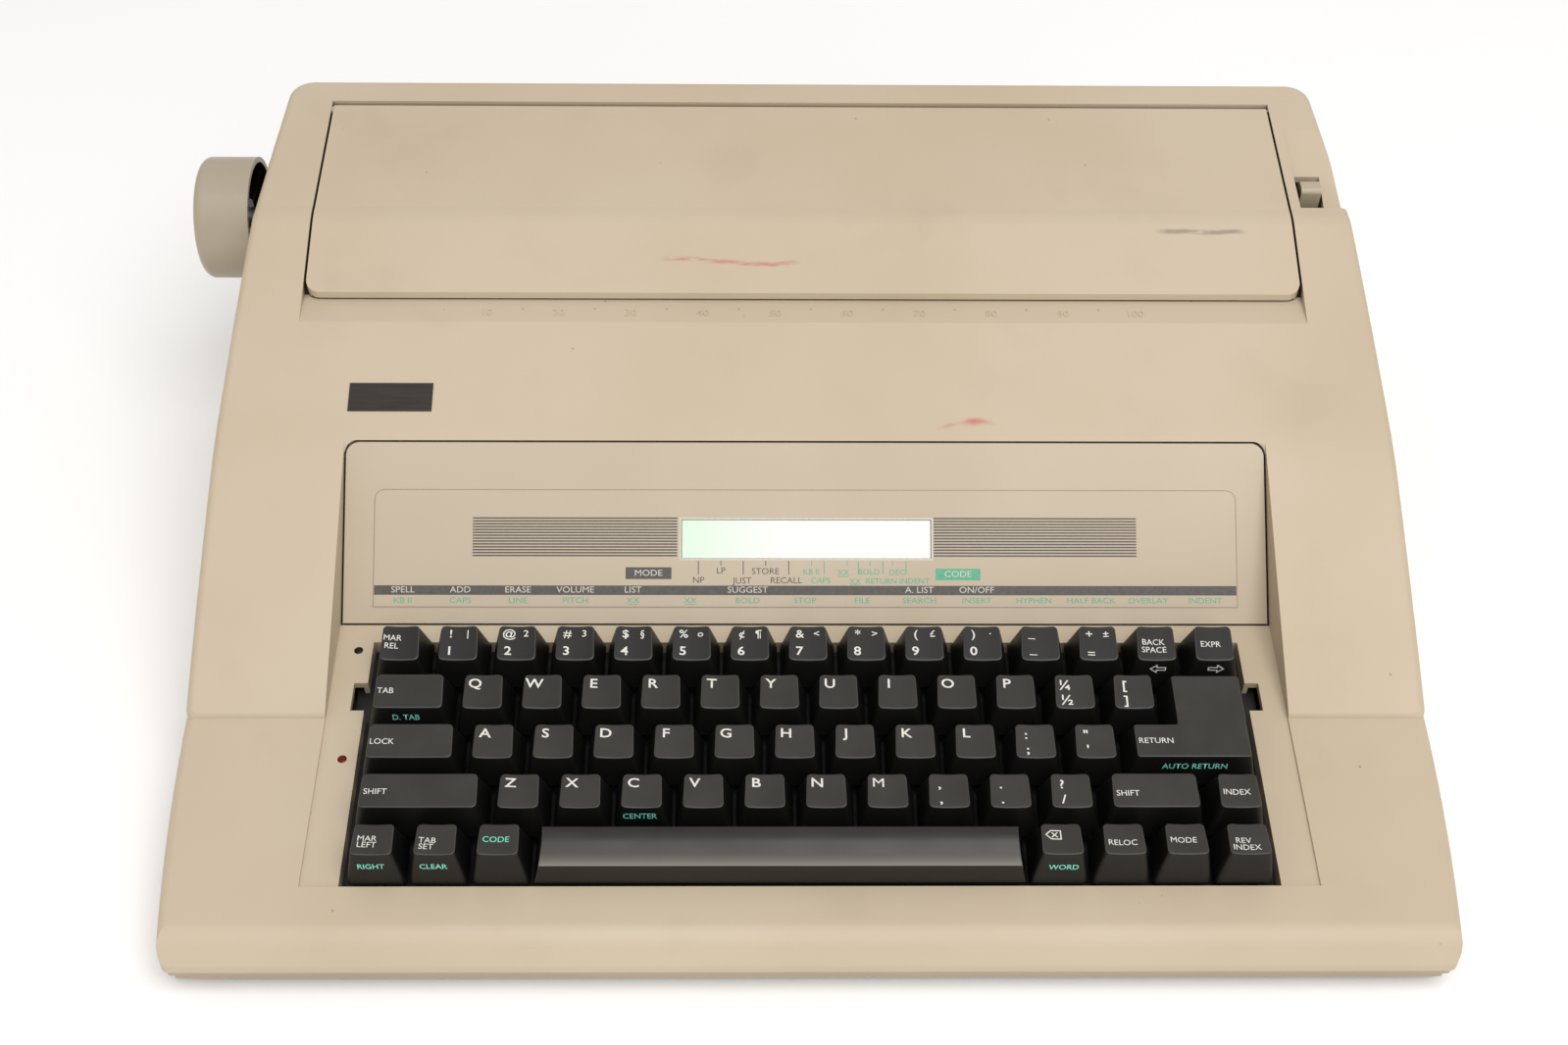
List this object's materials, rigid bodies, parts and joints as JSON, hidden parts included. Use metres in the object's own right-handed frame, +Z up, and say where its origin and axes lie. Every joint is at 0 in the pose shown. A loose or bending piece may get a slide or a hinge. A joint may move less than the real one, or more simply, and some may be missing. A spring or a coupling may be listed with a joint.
{
  "type": "electronic typewriter",
  "caption": "Beige electronic typewriter with a wedge case, charcoal keys, a sloped display panel, a hinged lid over the printing works and a platen knob at the left.",
  "frame": {"origin": "on the table below the middle of the whole machine's bounding box; the knob stands out at the left only, so the middle of the case is 10.45 mm to the right of the origin and 1.35 mm in front of it", "axes": "+X to the typist's right along the platen, +Y to the rear, +Z up from the table"},
  "size_m": [0.426, 0.3338, 0.1159],
  "materials": {
    "case_plastic": "fine grained beige, slightly yellowed",
    "panel_plastic": "smooth printed panel",
    "display_glass": "grey green display behind clear plastic",
    "black_plastic": "moulded black",
    "key_plastic": "charcoal, lightly polished by use",
    "knob_plastic": "smooth greyer beige",
    "lamp_plastic": "clear red",
    "circuit_board": "green laminate",
    "dark_rubber": "matt black",
    "steel": "zinc plated"
  },
  "bodies": {
    "case": {"upper_case": "case_plastic", "lower_case": "case_plastic", "display_panel": "panel_plastic", "lcd_module": "display_glass", "keyboard_plate": "black_plastic", "mains_inlet": "black_plastic", "indicator_lamps": "lamp_plastic", "key_switch_board": "circuit_board", "main_board": "circuit_board", "rubber_feet": "dark_rubber", "drive_belt": "dark_rubber", "case_screws": "steel", "chassis_pan": "steel", "left_side_frame": "steel", "right_side_frame": "steel", "carriage_rails": "steel", "paper_pan": "steel", "line_feed_motor": "steel", "carriage_motor": "steel", "power_transformer": "steel"},
    "lid": {"lid": "case_plastic"},
    "platen": {"platen_roller": "dark_rubber", "platen_shaft": "steel", "platen_knob": "knob_plastic", "platen_gear": "black_plastic"},
    "idler_gear": {"idler_gear": "black_plastic"},
    "motor_pinion": {"motor_pinion": "black_plastic"},
    "feed_rollers": {"feed_rollers": "dark_rubber"},
    "release_lever": {"release_lever": "knob_plastic"},
    "paper_bail": {"paper_bail": "steel"},
    "bail_rollers": {"bail_rollers": "dark_rubber"},
    "carriage": {"carriage_frame": "black_plastic", "print_wheel_motor": "steel", "print_hammer": "steel", "ribbon_cassette": "black_plastic"},
    "print_wheel": {"print_wheel": "black_plastic"},
    "motor_pulley": {"motor_pulley": "black_plastic"},
    "idler_pulley": {"idler_pulley": "black_plastic"},
    "power_rocker": {"power_rocker": "black_plastic"},
    "return_key": {"return_key": "key_plastic"},
    "margin_release_key": {"margin_release_key": "key_plastic"},
    "backspace_key": {"backspace_key": "key_plastic"},
    "express_key": {"express_key": "key_plastic"},
    "tab_key": {"tab_key": "key_plastic"},
    "lock_key": {"lock_key": "key_plastic"},
    "left_shift_key": {"left_shift_key": "key_plastic"},
    "right_shift_key": {"right_shift_key": "key_plastic"},
    "index_key": {"index_key": "key_plastic"},
    "margin_left_key": {"margin_left_key": "key_plastic"},
    "tab_set_key": {"tab_set_key": "key_plastic"},
    "code_key": {"code_key": "key_plastic"},
    "correction_key": {"correction_key": "key_plastic"},
    "relocate_key": {"relocate_key": "key_plastic"},
    "mode_key": {"mode_key": "key_plastic"},
    "reverse_index_key": {"reverse_index_key": "key_plastic"},
    "space_bar": {"space_bar": "key_plastic"},
    "digit_row_keys": {"digit_row_keys": "key_plastic"},
    "upper_letter_row_keys": {"upper_letter_row_keys": "key_plastic"},
    "home_row_keys": {"home_row_keys": "key_plastic"},
    "lower_letter_row_keys": {"lower_letter_row_keys": "key_plastic"}
  },
  "joints": [
    {"name": "lid_hinge", "type": "hinge", "parent": "case", "child": "lid", "pos_m": [0.01045, 0.14835, 0.11168], "axis": [-1, 0, 0], "range_deg": [0, 98]},
    {"name": "platen_turn", "type": "hinge", "parent": "case", "child": "platen", "pos_m": [0.01045, 0.11865, 0.0843], "axis": [1, 0, 0], "continuous": true},
    {"name": "idler_gear_turn", "type": "hinge", "parent": "case", "child": "idler_gear", "pos_m": [-0.16405, 0.13149, 0.06015], "axis": [1, 0, 0], "continuous": true},
    {"name": "motor_pinion_turn", "type": "hinge", "parent": "case", "child": "motor_pinion", "pos_m": [-0.16405, 0.13526, 0.0461], "axis": [1, 0, 0], "continuous": true},
    {"name": "feed_rollers_turn", "type": "hinge", "parent": "case", "child": "feed_rollers", "pos_m": [0.01045, 0.12067, 0.06511], "axis": [1, 0, 0], "continuous": true},
    {"name": "release_lever_pull", "type": "hinge", "parent": "case", "child": "release_lever", "pos_m": [0.19045, 0.11065, 0.082], "axis": [1, 0, 0], "range_deg": [0, 12]},
    {"name": "paper_bail_swing", "type": "hinge", "parent": "case", "child": "paper_bail", "pos_m": [0.01045, 0.09865, 0.088], "axis": [1, 0, 0], "range_deg": [0, 8], "stiffness_Nm_per_rad": 0.02, "springref_deg": -11.46},
    {"name": "bail_rollers_turn", "type": "hinge", "parent": "paper_bail", "child": "bail_rollers", "pos_m": [0.01045, 0.10708, 0.09911], "axis": [1, 0, 0], "continuous": true},
    {"name": "carriage_travel", "type": "slide", "parent": "case", "child": "carriage", "axis": [1, 0, 0], "range_m": [-0.106, 0.106]},
    {"name": "print_wheel_turn", "type": "hinge", "parent": "carriage", "child": "print_wheel", "pos_m": [0.01045, 0.10155, 0.0513], "axis": [0, 1, 0], "continuous": true},
    {"name": "motor_pulley_turn", "type": "hinge", "parent": "case", "child": "motor_pulley", "pos_m": [0.16045, 0.06265, 0.04], "axis": [0, 0, 1], "range_deg": [-900, 900]},
    {"name": "idler_pulley_turn", "type": "hinge", "parent": "case", "child": "idler_pulley", "pos_m": [-0.13955, 0.06265, 0.04], "axis": [0, 0, 1], "range_deg": [-900, 900]},
    {"name": "power_switch_rock", "type": "hinge", "parent": "case", "child": "power_rocker", "pos_m": [-0.13855, 0.16015, 0.03], "axis": [1, 0, 0], "range_deg": [0, 12]},
    {"name": "return_key_press", "type": "slide", "parent": "case", "child": "return_key", "axis": [0, 0.1045, -0.9945], "range_m": [0, 0.0035], "stiffness_N_per_m": 220, "springref_m": -0.002},
    {"name": "margin_release_key_press", "type": "slide", "parent": "case", "child": "margin_release_key", "axis": [0, 0.1045, -0.9945], "range_m": [0, 0.0035], "stiffness_N_per_m": 150, "springref_m": -0.002},
    {"name": "backspace_key_press", "type": "slide", "parent": "case", "child": "backspace_key", "axis": [0, 0.1045, -0.9945], "range_m": [0, 0.0035], "stiffness_N_per_m": 150, "springref_m": -0.002},
    {"name": "express_key_press", "type": "slide", "parent": "case", "child": "express_key", "axis": [0, 0.1045, -0.9945], "range_m": [0, 0.0035], "stiffness_N_per_m": 150, "springref_m": -0.002},
    {"name": "tab_key_press", "type": "slide", "parent": "case", "child": "tab_key", "axis": [0, 0.1045, -0.9945], "range_m": [0, 0.0035], "stiffness_N_per_m": 220, "springref_m": -0.002},
    {"name": "lock_key_press", "type": "slide", "parent": "case", "child": "lock_key", "axis": [0, 0.1045, -0.9945], "range_m": [0, 0.0035], "stiffness_N_per_m": 220, "springref_m": -0.002},
    {"name": "left_shift_key_press", "type": "slide", "parent": "case", "child": "left_shift_key", "axis": [0, 0.1045, -0.9945], "range_m": [0, 0.0035], "stiffness_N_per_m": 220, "springref_m": -0.002},
    {"name": "right_shift_key_press", "type": "slide", "parent": "case", "child": "right_shift_key", "axis": [0, 0.1045, -0.9945], "range_m": [0, 0.0035], "stiffness_N_per_m": 220, "springref_m": -0.002},
    {"name": "index_key_press", "type": "slide", "parent": "case", "child": "index_key", "axis": [0, 0.1045, -0.9945], "range_m": [0, 0.0035], "stiffness_N_per_m": 150, "springref_m": -0.002},
    {"name": "margin_left_key_press", "type": "slide", "parent": "case", "child": "margin_left_key", "axis": [0, 0.1045, -0.9945], "range_m": [0, 0.0035], "stiffness_N_per_m": 150, "springref_m": -0.002},
    {"name": "tab_set_key_press", "type": "slide", "parent": "case", "child": "tab_set_key", "axis": [0, 0.1045, -0.9945], "range_m": [0, 0.0035], "stiffness_N_per_m": 150, "springref_m": -0.002},
    {"name": "code_key_press", "type": "slide", "parent": "case", "child": "code_key", "axis": [0, 0.1045, -0.9945], "range_m": [0, 0.0035], "stiffness_N_per_m": 150, "springref_m": -0.002},
    {"name": "correction_key_press", "type": "slide", "parent": "case", "child": "correction_key", "axis": [0, 0.1045, -0.9945], "range_m": [0, 0.0035], "stiffness_N_per_m": 150, "springref_m": -0.002},
    {"name": "relocate_key_press", "type": "slide", "parent": "case", "child": "relocate_key", "axis": [0, 0.1045, -0.9945], "range_m": [0, 0.0035], "stiffness_N_per_m": 150, "springref_m": -0.002},
    {"name": "mode_key_press", "type": "slide", "parent": "case", "child": "mode_key", "axis": [0, 0.1045, -0.9945], "range_m": [0, 0.0035], "stiffness_N_per_m": 150, "springref_m": -0.002},
    {"name": "reverse_index_key_press", "type": "slide", "parent": "case", "child": "reverse_index_key", "axis": [0, 0.1045, -0.9945], "range_m": [0, 0.0035], "stiffness_N_per_m": 150, "springref_m": -0.002},
    {"name": "space_bar_press", "type": "slide", "parent": "case", "child": "space_bar", "axis": [0, 0.1045, -0.9945], "range_m": [0, 0.0035], "stiffness_N_per_m": 260, "springref_m": -0.003},
    {"name": "digit_row_keys_press", "type": "slide", "parent": "case", "child": "digit_row_keys", "axis": [0, 0.1045, -0.9945], "range_m": [0, 0.0035], "stiffness_N_per_m": 1800, "springref_m": -0.002},
    {"name": "upper_letter_row_keys_press", "type": "slide", "parent": "case", "child": "upper_letter_row_keys", "axis": [0, 0.1045, -0.9945], "range_m": [0, 0.0035], "stiffness_N_per_m": 1800, "springref_m": -0.002},
    {"name": "home_row_keys_press", "type": "slide", "parent": "case", "child": "home_row_keys", "axis": [0, 0.1045, -0.9945], "range_m": [0, 0.0035], "stiffness_N_per_m": 1650, "springref_m": -0.002},
    {"name": "lower_letter_row_keys_press", "type": "slide", "parent": "case", "child": "lower_letter_row_keys", "axis": [0, 0.1045, -0.9945], "range_m": [0, 0.0035], "stiffness_N_per_m": 1500, "springref_m": -0.002}
  ],
  "couplings": [
    {"joint": "idler_gear_turn", "follows": "platen_turn", "ratio": -1.8333},
    {"joint": "motor_pinion_turn", "follows": "platen_turn", "ratio": 3.6667},
    {"joint": "feed_rollers_turn", "follows": "platen_turn", "ratio": -2.8},
    {"joint": "motor_pulley_turn", "follows": "carriage_travel", "rad_per_m": -144.93},
    {"joint": "idler_pulley_turn", "follows": "carriage_travel", "rad_per_m": -144.93}
  ]
}
